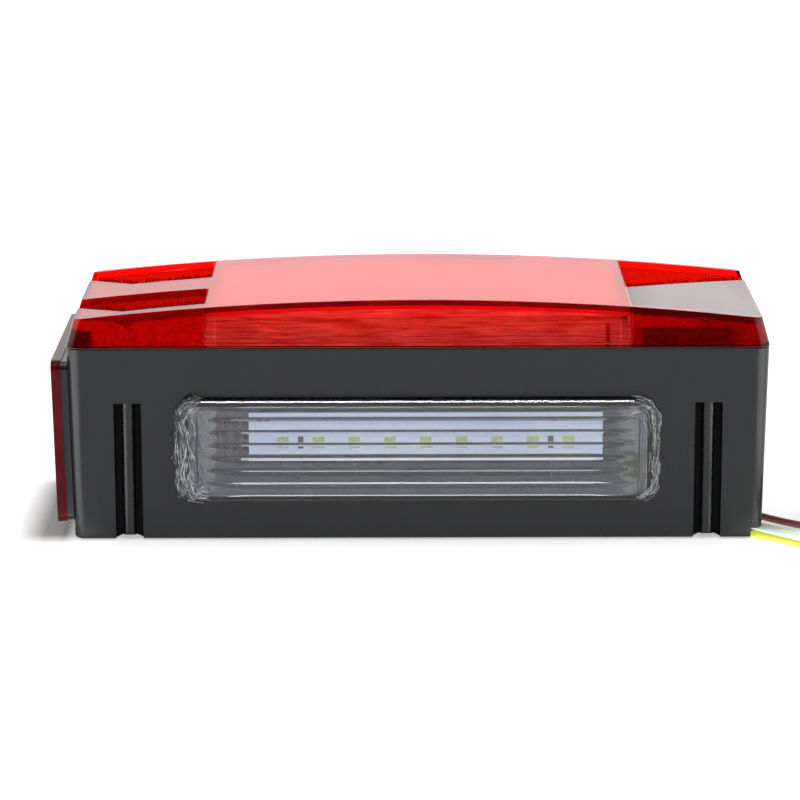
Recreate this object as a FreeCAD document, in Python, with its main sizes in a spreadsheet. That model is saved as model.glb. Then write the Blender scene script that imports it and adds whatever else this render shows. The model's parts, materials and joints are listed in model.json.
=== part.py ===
import FreeCAD, Part
import math
import os
import re

import Sketcher
from FreeCAD import Placement, Rotation, Vector

# Left-hand combination tail light for a trailer, lying on its back.
# +X runs along the width, away from the side marker. +Y points away from the licence lamp's face.
# +Z is towards the main lens. The origin is the middle of the flat back rim, which is the mounting plane.

DOC = FreeCAD.newDocument("trailer_tail_light")

SIZES = {
    # housing
    "lens_width": 204, "lens_depth": 79, "housing_height": 57, "draft": 1.4, "corner_radius": 3, "wall": 2.6,
    "back_depth": 9, "partition": 2.5, "rib": 1.6, "rib_x": 44, "rib_y": 16,
    # screw towers and the grooves beside them
    "tower_x": 84.4, "tower_y": 31, "tower_width": 12, "tower_top": 46, "groove_width": 8, "groove_top": 40.8,
    "groove_floor": 35.9, "column_radius": 1.9, "arch_width": 7.8, "arch_rise": 1.2,
    "screw_head": 6.6, "screw_shank": 3.4, "screw_seat": 38, "screw_tip": 59,
    # mounting inserts
    "insert_spacing": 50.8, "insert_bore": 6.4, "insert_outer": 9.5, "insert_length": 12, "boss_outer": 14,
    # wire well and lead notch
    "well_left": 46, "well_right": 80, "well_front": -14, "well_rear": 12, "well_height": 24, "well_wall": 2,
    "lead_exit_height": 15, "notch_height": 2.8, "notch_rear": -4, "notch_depth": 4.8,
    # main lens
    "joint": 0.4, "end_height": 8, "crown": 5.4, "end_lean": 2.25, "front_lean": 1.7, "top_plate": 3.4,
    "end_wall": 2.3, "front_wall": 4, "panel_half": 62, "lip": 1.6, "recess": 1.8, "pocket_depth": 2,
    "post": 7, "post_pilot": 2.9,
    # main board, reflector and light sources
    "board_width": 192, "board_depth": 70, "board": 1.6, "lamp_pitch": 21.5, "lamp_row": 15,
    "reflector_width": 119, "reflector_depth": 61, "reflector_top": 64.5,
    # licence lamp
    "plate_half": 68.9, "plate_bottom": 12.4, "plate_top": 42.1, "plate_radius": 6.5, "plate_front": 42.4,
    "plate_wall": 2.1, "plate_ledge": 37.5, "flute_pitch": 3, "flute_radius": 1.7, "seal_width": 1.7,
    "plate_board_left": -49.5, "plate_board_right": 54, "plate_board_bottom": 23.3, "plate_board_top": 36.3,
    "plate_board_face": 31.5, "plate_lamp_pitch": 10.45,
    # side marker
    "marker_half": 36.5, "marker_bottom": 4.5, "marker_top": 52.8, "marker_base": 2, "marker_lens": 2.8,
    # leads
    "lead": 2.2, "coil_radius": 12, "coil_turns": 2.6, "strand": 1.2, "strand_length": 8,
}

SHEET = DOC.addObject("Spreadsheet::Sheet", "sizes")
for row, (word, number) in enumerate(SIZES.items(), start=1):
    SHEET.set(f"A{row}", word)
    SHEET.set(f"B{row}", str(number))
    SHEET.setAlias(f"B{row}", word)
DOC.recompute()

PIECES = []


def size(text):
    """The value of an expression in the sheet's words, as a plain number."""
    return float(SHEET.evalExpression(text))


def sheet_word(found):
    """A word of an expression, with the sheet's name before it if it is one of the sheet's."""
    return f"sizes.{found[0]}" if found[0] in SIZES else found[0]


def bind(thing, **properties):
    """Drive an object's properties by expressions; Placement__Base__x stands for Placement.Base.x."""
    for name, text in properties.items():
        path = name.replace("__", ".")
        words = re.sub(r"[a-z_]{3,}", sheet_word, str(text))
        thing.setExpression(path, words)
    return thing


def piece(thing, label):
    """Mark an object of the document as one separate physical piece."""
    thing.Label = label
    PIECES.append(thing)
    return thing


# ---- sketch features ----

def body(label):
    return piece(DOC.addObject("PartDesign::Body", label + "_body"), label)


def sketch(owner, role, name, offset="0"):
    """A sketch on one of the body's origin planes, moved along that plane's normal."""
    plane = next(f for f in owner.Origin.OriginFeatures if f.Role == role)
    made = owner.newObject("Sketcher::SketchObject", name)
    made.AttachmentSupport = [(plane, "")]
    made.MapMode = "FlatFace"
    bind(made, AttachmentOffset__Base__z=offset)
    return made


def constrain(made, kind, words, text):
    """One dimension of a sketch, bound to the sheet."""
    index = made.addConstraint(Sketcher.Constraint(kind, *words, size(text)))
    bind(made, **{f"Constraints[{index}]": text})


def rectangle(made, left, right, bottom, top, radius):
    """A rounded rectangle in a sketch, each side placed by an expression."""
    x0, x1, y0, y1, r = (size(t) for t in (left, right, bottom, top, radius))
    corners = [(x1 - r, y0 + r, -90), (x1 - r, y1 - r, 0), (x0 + r, y1 - r, 90), (x0 + r, y0 + r, 180)]
    lines = [((x0 + r, y0), (x1 - r, y0)), ((x1, y0 + r), (x1, y1 - r)),
             ((x1 - r, y1), (x0 + r, y1)), ((x0, y1 - r), (x0, y0 + r))]
    first = made.GeometryCount
    for (ax, ay), (bx, by) in lines:
        made.addGeometry(Part.LineSegment(Vector(ax, ay, 0), Vector(bx, by, 0)), False)
    for cx, cy, start in corners:
        circle = Part.Circle(Vector(cx, cy, 0), Vector(0, 0, 1), r)
        arc = Part.ArcOfCircle(circle, math.radians(start), math.radians(start + 90))
        made.addGeometry(arc, False)
    for i in range(4):
        line, arc, after = first + i, first + 4 + i, first + (i + 1) % 4
        made.addConstraint(Sketcher.Constraint("Tangent", line, 2, arc, 1))
        made.addConstraint(Sketcher.Constraint("Tangent", arc, 2, after, 1))
        made.addConstraint(Sketcher.Constraint("Vertical" if i % 2 else "Horizontal", line))
        if i:
            made.addConstraint(Sketcher.Constraint("Equal", first + 4, arc))
    constrain(made, "Radius", (first + 4,), radius)
    constrain(made, "DistanceX", (-1, 1, first + 3, 1), left)
    constrain(made, "DistanceX", (-1, 1, first + 1, 1), right)
    constrain(made, "DistanceY", (-1, 1, first, 1), bottom)
    constrain(made, "DistanceY", (-1, 1, first + 2, 1), top)


def circle(made, across, along, radius):
    """A circle in a sketch, its centre and radius placed by expressions."""
    index = made.GeometryCount
    centre = Vector(size(across), size(along), 0)
    made.addGeometry(Part.Circle(centre, Vector(0, 0, 1), size(radius)), False)
    constrain(made, "Radius", (index,), radius)
    constrain(made, "DistanceX", (-1, 1, index, 3), across)
    constrain(made, "DistanceY", (-1, 1, index, 3), along)


def grow(owner, kind, made, length, taper=None, reverse=False, both=False, along=None):
    """Pad or pocket a sketch, and say if it changed nothing."""
    DOC.recompute()
    before = 0 if owner.Shape.isNull() else owner.Shape.Volume
    feature = owner.newObject(f"PartDesign::{kind}", f"{made.Name}_{kind.lower()}")
    feature.Profile = made
    bind(feature, Length=length)
    if taper:
        bind(feature, TaperAngle=taper)
    feature.Reversed = reverse
    if both:
        feature.SideType = "Symmetric"
    if along:
        feature.UseCustomVector = True
        feature.Direction = along
        feature.AlongSketchNormal = True
    made.Visibility = False
    owner.Tip = feature
    DOC.recompute()
    change = owner.Shape.Volume - before
    if (change <= 0) if kind == "Pad" else (change >= 0):
        raise ValueError(f"{feature.Name} changed the volume by {change:.1f}")
    return feature


def soften(owner, name, radius, chosen):
    """Fillet the edges of a body that a test picks."""
    base = owner.Tip
    edges = [f"Edge{i}" for i, e in enumerate(owner.Shape.Edges, start=1) if chosen(e)]
    made = owner.newObject("PartDesign::Fillet", name)
    made.Base = (base, edges)
    made.Radius = radius
    owner.Tip = made
    DOC.recompute()


# ---- solids and booleans ----

def box(name, left, right, front, rear, bottom, top):
    """A box with each side placed by an expression."""
    made = DOC.addObject("Part::Box", name)
    return bind(made, Length=f"({right})-({left})", Width=f"({rear})-({front})", Height=f"({top})-({bottom})",
                Placement__Base__x=left, Placement__Base__y=front, Placement__Base__z=bottom)


def rod(name, x, y, z, radius, length, axis="Z"):
    """A cylinder that starts at a point and runs along +X, -Y or +Z."""
    made = DOC.addObject("Part::Cylinder", name)
    turns = {"X": Rotation(Vector(0, 1, 0), 90), "Y": Rotation(Vector(1, 0, 0), 90), "Z": Rotation()}
    made.Placement = Placement(Vector(), turns[axis])
    bind(made, Radius=radius, Height=length)
    return bind(made, Placement__Base__x=x, Placement__Base__y=y, Placement__Base__z=z)


def combine(kind, name, base, tool):
    """Part::Cut or Part::Common of two objects."""
    made = DOC.addObject(f"Part::{kind}", name)
    made.Base = base
    made.Tool = tool
    return made


def together(kind, name, things):
    """Part::MultiFuse, or Part::Compound for a group of separate solids."""
    made = DOC.addObject(f"Part::{kind}", name)
    if kind == "Compound":
        made.Links = things
    else:
        made.Shapes = things
    return made


def rounded(name, base, radius, chosen):
    """Fillet the edges of an object that a test picks."""
    DOC.recompute()
    made = DOC.addObject("Part::Fillet", name)
    made.Base = base
    edges = [i for i, e in enumerate(base.Shape.Edges, start=1) if chosen(e)]
    made.Edges = [(i, size(radius), size(radius)) for i in edges]
    return made


def upright(edge):
    """Whether an edge climbs between two heights without lying in one plane of constant Z."""
    return len(edge.Vertexes) == 2 and abs(edge.Vertexes[0].Z - edge.Vertexes[1].Z) > 1


SIDES = (-1, 1)
CORNERS = [(sx, sy) for sx in SIDES for sy in SIDES]
FOOT_X = "(lens_width/2-housing_height*tan(draft))"
FOOT_Y = "(lens_depth/2-housing_height*tan(draft))"


# ---- housing ----

def lies_at(edge, height):
    """Whether an edge lies flat at a height."""
    return abs(edge.BoundBox.ZMin - height) + abs(edge.BoundBox.ZMax - height) < 0.01


def housing_shell(owner):
    """The drafted box with its chamber in front and its shallow hollow behind."""
    outline = sketch(owner, "XY_Plane", "housing_outline")
    rectangle(outline, f"-{FOOT_X}", FOOT_X, f"-{FOOT_Y}", FOOT_Y, "corner_radius")
    grow(owner, "Pad", outline, "housing_height", taper="draft")
    for name, height, radius in (("rim_edge", 0, 0.8), ("joint_edge", size("housing_height"), 0.4)):
        soften(owner, name, radius, lambda e, z=height: lies_at(e, z))
    chamber = sketch(owner, "XY_Plane", "chamber", "housing_height")
    rectangle(chamber, "-lens_width/2+wall", "lens_width/2-wall",
              "-lens_depth/2+wall", "lens_depth/2-wall", "1.5")
    grow(owner, "Pocket", chamber, "housing_height-back_depth-partition", taper="-draft")
    hollow = sketch(owner, "XY_Plane", "back_hollow")
    rectangle(hollow, f"-{FOOT_X}+wall", f"{FOOT_X}-wall", f"-{FOOT_Y}+wall", f"{FOOT_Y}-wall", "1.5")
    grow(owner, "Pocket", hollow, "back_depth", taper="draft", reverse=True)


def housing_insides(owner):
    """Screw towers, insert bosses, ribs, the licence board's posts and the wire well."""
    towers = sketch(owner, "XY_Plane", "towers")
    for sx, sy in CORNERS:
        near, far = sorted((f"{sy}*(tower_y-tower_width/2)", f"{sy}*(tower_y+tower_width/2)"), key=size)
        rectangle(towers, f"{sx}*tower_x-tower_width/2", f"{sx}*tower_x+tower_width/2", near, far, "0.8")
    grow(owner, "Pad", towers, "tower_top")
    bosses = sketch(owner, "XY_Plane", "insert_bosses")
    for sx in SIDES:
        circle(bosses, f"{sx}*insert_spacing/2", "0", "boss_outer/2")
    grow(owner, "Pad", bosses, "insert_length+partition")
    long_ribs = sketch(owner, "XY_Plane", "long_ribs", "0.5")
    cross_ribs = sketch(owner, "XY_Plane", "cross_ribs", "0.5")
    for s in SIDES:
        rectangle(long_ribs, "-rib_x", "rib_x", f"{s}*rib_y-rib/2", f"{s}*rib_y+rib/2", "0.3")
        rectangle(cross_ribs, f"{s}*rib_x-rib/2", f"{s}*rib_x+rib/2",
                  f"-{FOOT_Y}+wall/2", f"{FOOT_Y}-wall/2", "0.3")
    grow(owner, "Pad", long_ribs, "back_depth")
    grow(owner, "Pad", cross_ribs, "back_depth")
    posts = sketch(owner, "XY_Plane", "licence_posts", "back_depth")
    rear = "plate_board_face-1-4"
    for left in ("plate_board_left+9", "plate_board_right-15"):
        rectangle(posts, left, f"{left}+6", "-(plate_board_face-1)", f"-({rear})", "0.5")
    grow(owner, "Pad", posts, "plate_board_top-back_depth")
    well = sketch(owner, "XY_Plane", "well_block", "back_depth")
    rectangle(well, "well_left", "well_right", "well_front", "well_rear", "1.5")
    grow(owner, "Pad", well, "well_height-back_depth")
    inside = sketch(owner, "XY_Plane", "well_inside")
    rectangle(inside, "well_left+well_wall", "well_right-well_wall",
              "well_front+well_wall", "well_rear-well_wall", "1")
    grow(owner, "Pocket", inside, "well_height-well_wall", reverse=True)


def housing_openings(owner):
    """Screw and insert holes, the grommet's slot, both lamps' windows and the leads' way out."""
    heads = sketch(owner, "XY_Plane", "screw_head_holes")
    shanks = sketch(owner, "XY_Plane", "screw_shank_holes")
    for sx, sy in CORNERS:
        circle(heads, f"{sx}*tower_x", f"{sy}*tower_y", "screw_head/2+0.2")
        circle(shanks, f"{sx}*tower_x", f"{sy}*tower_y", "screw_shank/2+0.2")
    grow(owner, "Pocket", heads, "screw_seat", reverse=True)
    grow(owner, "Pocket", shanks, "tower_top+1", reverse=True)
    inserts = sketch(owner, "XY_Plane", "insert_holes")
    for sx in SIDES:
        circle(inserts, f"{sx}*insert_spacing/2", "0", "insert_outer/2")
    grow(owner, "Pocket", inserts, "insert_length", reverse=True)
    grommet = sketch(owner, "YZ_Plane", "grommet_slot", "well_left+well_wall+1")
    rectangle(grommet, *GROMMET_NECK, "2")
    grow(owner, "Pocket", grommet, "well_wall+2")
    ledge = sketch(owner, "XZ_Plane", "licence_recess", "lens_depth/2+1")
    rectangle(ledge, "-plate_half-0.4", "plate_half+0.4",
              "plate_bottom-0.4", "plate_top+0.4", "plate_radius+0.4")
    grow(owner, "Pocket", ledge, "lens_depth/2+1-plate_ledge")
    window = sketch(owner, "XZ_Plane", "licence_window", "plate_ledge+1")
    rectangle(window, "-plate_half+4", "plate_half-4", "plate_bottom+4", "plate_top-4", "plate_radius-4")
    grow(owner, "Pocket", window, "5")
    side = sketch(owner, "YZ_Plane", "marker_window", "-lens_width/2+6")
    rectangle(side, *MARKER_WINDOW, "2")
    grow(owner, "Pocket", side, "8")
    notch = sketch(owner, "YZ_Plane", "lead_notch", "lens_width/2")
    rectangle(notch, "-lens_depth/2-2", "notch_rear", "-4", "notch_height", "1")
    grow(owner, "Pocket", notch, "notch_depth")


def housing_grooves(owner):
    """Two slots with a half-round column between them at each tower, over a low arch in the rim."""
    for sy, name in zip(SIDES, ("front", "rear"), strict=True):
        slots = sketch(owner, "XZ_Plane", f"{name}_grooves", f"{-sy}*(lens_depth/2+1)")
        for sx in SIDES:
            rectangle(slots, f"{sx}*tower_x-groove_width/2", f"{sx}*tower_x+groove_width/2",
                      "-2", "groove_top", "0.3")
        grow(owner, "Pocket", slots, "lens_depth/2+1-groove_floor", reverse=sy > 0)
        columns = sketch(owner, "XY_Plane", f"{name}_columns")
        for sx in SIDES:
            circle(columns, f"{sx}*tower_x", f"{sy}*({FOOT_Y}-column_radius-0.2)", "column_radius")
        lean = Vector(0, sy * math.tan(math.radians(size("draft"))), 1)
        grow(owner, "Pad", columns, "groove_top+0.2", along=lean)
    arches = sketch(owner, "XZ_Plane", "rim_arches")
    bend = "((arch_width/2)^2+arch_rise^2)/(2*arch_rise)"
    for sx in SIDES:
        circle(arches, f"{sx}*tower_x", f"arch_rise-{bend}", bend)
    grow(owner, "Pocket", arches, "lens_depth+4", both=True)


def make_housing():
    owner = body("housing")
    housing_shell(owner)
    housing_insides(owner)
    housing_grooves(owner)
    housing_openings(owner)
    return owner


def make_inserts():
    """Two brass threaded inserts, flush with the mounting plane, at the standard two-inch spacing."""
    for sx, side in zip(SIDES, ("left", "right"), strict=True):
        at = (f"{sx}*insert_spacing/2", "0", "0")
        outer = rod(f"insert_{side}_outer", *at, "insert_outer/2", "insert_length")
        bore = rod(f"insert_{side}_bore", *at, "insert_bore/2", "insert_length-1")
        piece(combine("Cut", f"insert_{side}", outer, bore), f"threaded_insert_{side}")


def make_screws():
    """Four long self-tapping screws that pull the lens down through the towers."""
    screws = []
    for n, (sx, sy) in enumerate(CORNERS):
        at = (f"{sx}*tower_x", f"{sy}*tower_y")
        head = rod(f"screw_{n}_head", *at, "screw_seat-2.4", "screw_head/2", "2.4")
        shank = rod(f"screw_{n}_shank", *at, "screw_seat-0.5", "post_pilot/2", "screw_tip-screw_seat+0.5")
        cross = box(f"screw_{n}_cross", f"{at[0]}-2", f"{at[0]}+2", f"{at[1]}-0.4", f"{at[1]}+0.4",
                    "screw_seat-3", "screw_seat-1.2")
        slot = box(f"screw_{n}_slot", f"{at[0]}-0.4", f"{at[0]}+0.4", f"{at[1]}-2", f"{at[1]}+2",
                   "screw_seat-3", "screw_seat-1.2")
        solid = together("MultiFuse", f"screw_{n}_solid", [head, shank])
        drive = together("MultiFuse", f"screw_{n}_drive", [cross, slot])
        screws.append(combine("Cut", f"screw_{n}", solid, drive))
    piece(together("Compound", "screws", screws), "lens_screws")


# ---- main lens ----

LENS_BASE = "(housing_height+joint)"
SHOULDER = "(lens_width/2-end_lean)"
CROWN_RADIUS = f"(({SHOULDER})^2+crown^2)/(2*crown)"
CROWN_TOP = f"({LENS_BASE}+end_height+crown)"


def frustum(name, inset_x, inset_y, height):
    """A block on the lens's base plane whose sides lean in as the lens's do, inset from its outline."""
    made = DOC.addObject("Part::Wedge", name)
    made.Placement = Placement(Vector(), Rotation(Vector(1, 0, 0), 90))
    x, y = f"(lens_width/2-{inset_x})", f"(lens_depth/2-{inset_y})"
    top_x, top_y = f"({x}-end_lean*{height}/end_height)", f"({y}-front_lean*{height}/end_height)"
    # the signed sides go in first, because a wedge is refused while any side is the wrong way round
    for side, text in (("max", ""), ("min", "-")):
        for axis, low, high in (("X", x, top_x), ("Z", y, top_y)):
            setattr(made, axis + side, size(text + low))
            setattr(made, f"{axis}2{side}", size(text + high))
            bind(made, **{axis + side: text + low, f"{axis}2{side}": text + high})
    made.Ymin = 0
    return bind(made, Ymax=height, Placement__Base__z=LENS_BASE)


def under_crown(name, below):
    """Everything under the crowned top surface, or under one that lies a little below it."""
    middle = f"{CROWN_TOP}-{CROWN_RADIUS}"
    return rod(name, "0", "lens_depth", middle, f"{CROWN_RADIUS}-{below}", "2*lens_depth", "Y")


def top_pocket(name, corners):
    """A pocket sunk in the top surface: an upright prism, kept above the pocket's floor."""
    outline = DOC.addObject("Part::Polygon", name + "_outline")
    outline.Nodes = [Vector(x, y, size(LENS_BASE)) for x, y in corners]
    outline.Close = True
    prism = DOC.addObject("Part::Extrusion", name + "_prism")
    prism.Base = outline
    prism.DirMode = "Custom"
    prism.Dir = Vector(0, 0, 1)
    prism.Solid = True
    bind(prism, LengthFwd="20")
    soft = rounded(name + "_soft", prism, "pocket_depth/2", upright)
    return combine("Cut", name, soft, under_crown(name + "_floor", "pocket_depth"))


def make_lens():
    """The red shell: leaning walls, crowned top, set-back middle, three top pockets and four posts."""
    sides = frustum("lens_sides", "0", "0", "(end_height+crown+2)")
    block = rounded("lens_block", sides, "corner_radius", upright)
    outside = combine("Common", "lens_outside", block, under_crown("lens_top", "0"))
    hollow = frustum("lens_hollow_sides", "end_wall", "front_wall", "(end_height+crown+2)")
    inside = combine("Common", "lens_inside", hollow, under_crown("lens_ceiling", "top_plate"))
    shell = combine("Cut", "lens_shell", outside, inside)
    # set-back middle of the front and rear walls
    middle = box("lens_middle", "-panel_half", "panel_half", "-lens_depth", "lens_depth",
                 f"{LENS_BASE}+1.2", f"{CROWN_TOP}+5")
    kept = frustum("lens_middle_sides", "0", "recess", "(end_height+crown+6)")
    outer_part = combine("Cut", "lens_middle_outer", middle, kept)
    setback = combine("Common", "lens_setback", outer_part, under_crown("lens_lip", "lip"))
    pockets = [top_pocket(f"lens_pocket_{n}", corners) for n, corners in enumerate(TOP_POCKETS)]
    cutters = together("MultiFuse", "lens_cutters", [setback, *pockets])
    carved = combine("Cut", "lens_carved", shell, cutters)
    # posts that take the screws
    low = "tower_top+board"
    places = [(f"{sx}*tower_x", f"{sy}*tower_y", low) for sx, sy in CORNERS]
    post_height = f"{LENS_BASE}+6.4-({low})"
    pilot_depth = f"screw_tip-({low})"
    posts = [rod(f"lens_post_{n}", *at, "post/2", post_height) for n, at in enumerate(places)]
    pilots = [rod(f"lens_pilot_{n}", *at, "post_pilot/2", pilot_depth) for n, at in enumerate(places)]
    whole = together("MultiFuse", "lens_whole", [carved, *posts])
    piece(combine("Cut", "lens", whole, together("MultiFuse", "lens_pilots", pilots)), "main_lens")


def make_gasket():
    owner = body("lens_gasket")
    ring = sketch(owner, "XY_Plane", "gasket_ring", "housing_height")
    for inset, radius in (("0.6", "2.4"), ("2.2", "1.2")):
        rectangle(ring, f"-lens_width/2+{inset}", f"lens_width/2-{inset}",
                  f"-lens_depth/2+{inset}", f"lens_depth/2-{inset}", radius)
    grow(owner, "Pad", ring, "joint")


# ---- main board and its parts ----

BOARD_TOP = "(tower_top+board)"
LAMP_COLUMNS = range(-2, 3)


def make_led_board():
    owner = body("led_board")
    plate = sketch(owner, "XY_Plane", "board_plate", "tower_top")
    rectangle(plate, "-board_width/2", "board_width/2", "-board_depth/2", "board_depth/2", "2")
    for sx, sy in CORNERS:
        circle(plate, f"{sx}*tower_x", f"{sy}*tower_y", "screw_shank/2+0.2")
    grow(owner, "Pad", plate, "board")


def chip(name, x, y, width, depth, height):
    """A small part lying on the main board."""
    return box(name, f"{x}-{width}/2", f"{x}+{width}/2", f"{y}-{depth}/2", f"{y}+{depth}/2",
               BOARD_TOP, f"{BOARD_TOP}+{height}")


def make_board_parts():
    """Two rows of five stop and turn lamps, tail lamps at the ends, and their resistors and diodes."""
    stop = [chip(f"stop_{c + 2}_{sy + 1}", f"{c}*lamp_pitch", f"{sy}*lamp_row", 5, 5, 1.6)
            for c in LAMP_COLUMNS for sy in SIDES]
    piece(together("Compound", "stop_lamps", stop), "stop_turn_leds")
    tail = [chip(f"tail_{sx + 1}_{n}", f"{sx}*(72+{n}*12)", "0", 3.5, 2.8, 1.2)
            for sx in SIDES for n in range(2)]
    piece(together("Compound", "tail_lamps", tail), "tail_leds")
    resistors = [chip(f"resistor_{n}", -90, f"{-14}+{n}*7", 3.2, 1.6, 0.6) for n in range(5)]
    piece(together("Compound", "resistors", resistors), "board_resistors")
    diodes = [chip(f"diode_{n}", 91, f"-10+{n}*10", 2.6, 4.4, 2.2) for n in range(3)]
    piece(together("Compound", "diodes", diodes), "board_diodes")


def make_reflector():
    """A bright tray with a square cup around each stop lamp."""
    owner = body("led_reflector")
    block = sketch(owner, "XY_Plane", "reflector_block", BOARD_TOP)
    rectangle(block, "-reflector_width/2", "reflector_width/2",
              "-reflector_depth/2", "reflector_depth/2", "1.5")
    grow(owner, "Pad", block, f"reflector_top-{BOARD_TOP}")
    cups = sketch(owner, "XY_Plane", "reflector_cups", "reflector_top")
    throats = sketch(owner, "XY_Plane", "reflector_throats", "reflector_top")
    for c in LAMP_COLUMNS:
        for sy in SIDES:
            for made, half_x, half_y, radius in ((cups, 9.9, 14, "1.5"), (throats, 3.2, 3.2, "0.5")):
                rectangle(made, f"{c}*lamp_pitch-{half_x}", f"{c}*lamp_pitch+{half_x}",
                          f"{sy}*lamp_row-{half_y}", f"{sy}*lamp_row+{half_y}", radius)
    grow(owner, "Pocket", cups, f"reflector_top-{BOARD_TOP}-2", taper="-14")
    grow(owner, "Pocket", throats, f"reflector_top-{BOARD_TOP}+1")


def make_reflex_panels():
    """A prismatic reflex plate under each end of the lens, resting on short legs on the board."""
    for sx, side in zip(SIDES, ("left", "right"), strict=True):
        near, far = sorted((f"{sx}*64", f"{sx}*80"), key=size)
        plate = box(f"reflex_{side}_plate", near, far, "-24", "24", "58.5", "60.5")
        legs = [box(f"reflex_{side}_leg_{s + 1}", f"{sx}*72-1", f"{sx}*72+1", f"{s}*22-1", f"{s}*22+1",
                    BOARD_TOP, "58.6") for s in SIDES]
        piece(together("MultiFuse", f"reflex_{side}", [plate, *legs]), f"reflex_panel_{side}")


# ---- licence lamp ----

def make_licence_lens(housing):
    owner = body("license_lens")
    face = sketch(owner, "XZ_Plane", "plate_lens_face", "plate_ledge")
    outline = ("-plate_half", "plate_half", "plate_bottom", "plate_top", "plate_radius")
    rectangle(face, *outline)
    grow(owner, "Pad", face, "plate_front-plate_ledge")
    soften(owner, "plate_lens_edge", 1.6, lambda e: abs(e.BoundBox.YMax + size("plate_front")) < 0.01)
    hollow = sketch(owner, "XZ_Plane", "plate_lens_hollow", "plate_ledge")
    rectangle(hollow, "-plate_half+4", "plate_half-4", "plate_bottom+4", "plate_top-4", "plate_radius-4")
    grow(owner, "Pocket", hollow, "plate_front-plate_ledge-plate_wall", reverse=True)
    flutes = sketch(owner, "YZ_Plane", "plate_lens_flutes")
    middle = "(plate_bottom+plate_top)/2"
    depth = "-(plate_front-plate_wall)+flute_radius-0.7"
    for n in range(-3, 4):
        circle(flutes, depth, f"{middle}+{n}*flute_pitch", "flute_radius-0.25")
    grow(owner, "Pocket", flutes, "2*(plate_half-10)", both=True)
    # bead of clear sealant in the joint
    ring = DOC.addObject("PartDesign::Body", "seal_ring")
    bead = sketch(ring, "XZ_Plane", "seal_outline", "plate_ledge")
    rectangle(bead, *outline)
    rectangle(bead, "-plate_half-seal_width", "plate_half+seal_width", "plate_bottom-seal_width",
              "plate_top+seal_width", "plate_radius+seal_width")
    grow(ring, "Pad", bead, "2.6")
    piece(combine("Cut", "seal", ring, housing), "license_lens_sealant")


def make_licence_board():
    """The licence board stands on edge behind its lens, with nine lamps in a row and two resistors."""
    face = "plate_board_face"
    piece(box("licence_board", "plate_board_left", "plate_board_right", f"-{face}", f"-{face}+1",
              "plate_board_bottom", "plate_board_top"), "license_board")
    middle = "(plate_board_left+plate_board_right)/2"
    height = "plate_board_bottom+5"
    lamps = [box(f"licence_lamp_{n + 4}", f"{middle}+{n}*plate_lamp_pitch-1.75",
                 f"{middle}+{n}*plate_lamp_pitch+1.75", f"-{face}-1.1", f"-{face}",
                 f"{height}-1.4", f"{height}+1.4") for n in range(-4, 5)]
    piece(together("Compound", "licence_lamps", lamps), "license_leds")
    resistors = [box(f"licence_resistor_{n + 4}", f"{middle}+{n}*plate_lamp_pitch-0.8",
                     f"{middle}+{n}*plate_lamp_pitch+0.8", f"-{face}-0.6", f"-{face}", f"{height}-1.6",
                     f"{height}+1.6") for n in (-3.5, 3.5)]
    piece(together("Compound", "licence_resistors", resistors), "license_resistors")


# ---- side marker, in a frame of its own that leans with the housing's left wall ----

MARKER_WINDOW = ("-18", "18", "18", "40")
MARKER_OPENING = ("-16", "16", "20", "38")


def on_left_wall(owner):
    owner.Placement = Placement(Vector(), Rotation(Vector(0, 1, 0), -size("draft")))
    bind(owner, Placement__Base__x=f"-{FOOT_X}")


def make_side_marker():
    outline = ("-marker_half", "marker_half", "marker_bottom", "marker_top")
    base = body("side_marker_base")
    plate = sketch(base, "YZ_Plane", "marker_plate", "-marker_base")
    rectangle(plate, "-marker_half+0.4", "marker_half-0.4", "marker_bottom+0.4", "marker_top-0.4", "2.2")
    rectangle(plate, *MARKER_OPENING, "2")
    grow(base, "Pad", plate, "marker_base")
    lens = body("side_marker_lens")
    face = sketch(lens, "YZ_Plane", "marker_face", "-marker_base-marker_lens")
    rectangle(face, *outline, "2.6")
    grow(lens, "Pad", face, "marker_lens")
    hollow = sketch(lens, "YZ_Plane", "marker_hollow", "-marker_base")
    rectangle(hollow, "-marker_half+3", "marker_half-3", "marker_bottom+3", "marker_top-3", "1")
    grow(lens, "Pocket", hollow, "1.2")
    board = body("side_marker_board")
    strip = sketch(board, "YZ_Plane", "marker_strip", "0.8")
    rectangle(strip, "-15", "15", "24", "34", "1")
    grow(board, "Pad", strip, "1")
    lamps = body("side_marker_leds")
    chips = sketch(lamps, "YZ_Plane", "marker_chips", "-0.4")
    rectangle(chips, "-1.75", "1.75", "27.6", "30.4", "0.3")
    grow(lamps, "Pad", chips, "1.2")
    for owner in (base, lens, board, lamps):
        on_left_wall(owner)


# ---- leads ----

# Grommet: a neck through the well's wall, with the potting on its inner side
GROMMET_NECK = ("-9.5", "4.5", "lead_exit_height-3", "lead_exit_height+3")
LEAD_ROWS = {"yellow": -6.5, "white": -2.5, "brown": 1.5}
DROP = [(55.5, 14.7), (63.5, 12), (71.5, 6.8), (80, 2.4)]

# Each route after the exit, in plan, on the floor; the last point is where the coil begins
FLOOR_ROUTES = {
    "brown": [(89, -5.2), (96.5, -11.5), (102.7, -18.4), (108.9, -25.2), (115.6, -30.4), (122.6, -32.3)],
    "white": [(88.5, -14), (94.8, -22.5), (101.5, -30), (108.8, -35.4), (116, -38.3), (122.6, -38.6)],
    "yellow": [(87.3, -20), (92.4, -29.6), (98.8, -38.4), (106.2, -46.6), (114.2, -53.8), (121.6, -61.4)],
}
DROP_DRIFT = {
    "brown": (1.5, 1.3, 0.4, -1.4),
    "white": (-2.6, -3.3, -5.2, -8.6),
    "yellow": (-6.7, -7.8, -10.2, -14.2),
}
# centre of each coil in plan, the angle at which the lead joins it, and which way it winds
COILS = {
    "brown": (128.5, -20, -90, 1),
    "white": (128.5, -50, 90, -1),
    "yellow": (128.5, -77.5, 90, -1),
}


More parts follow.
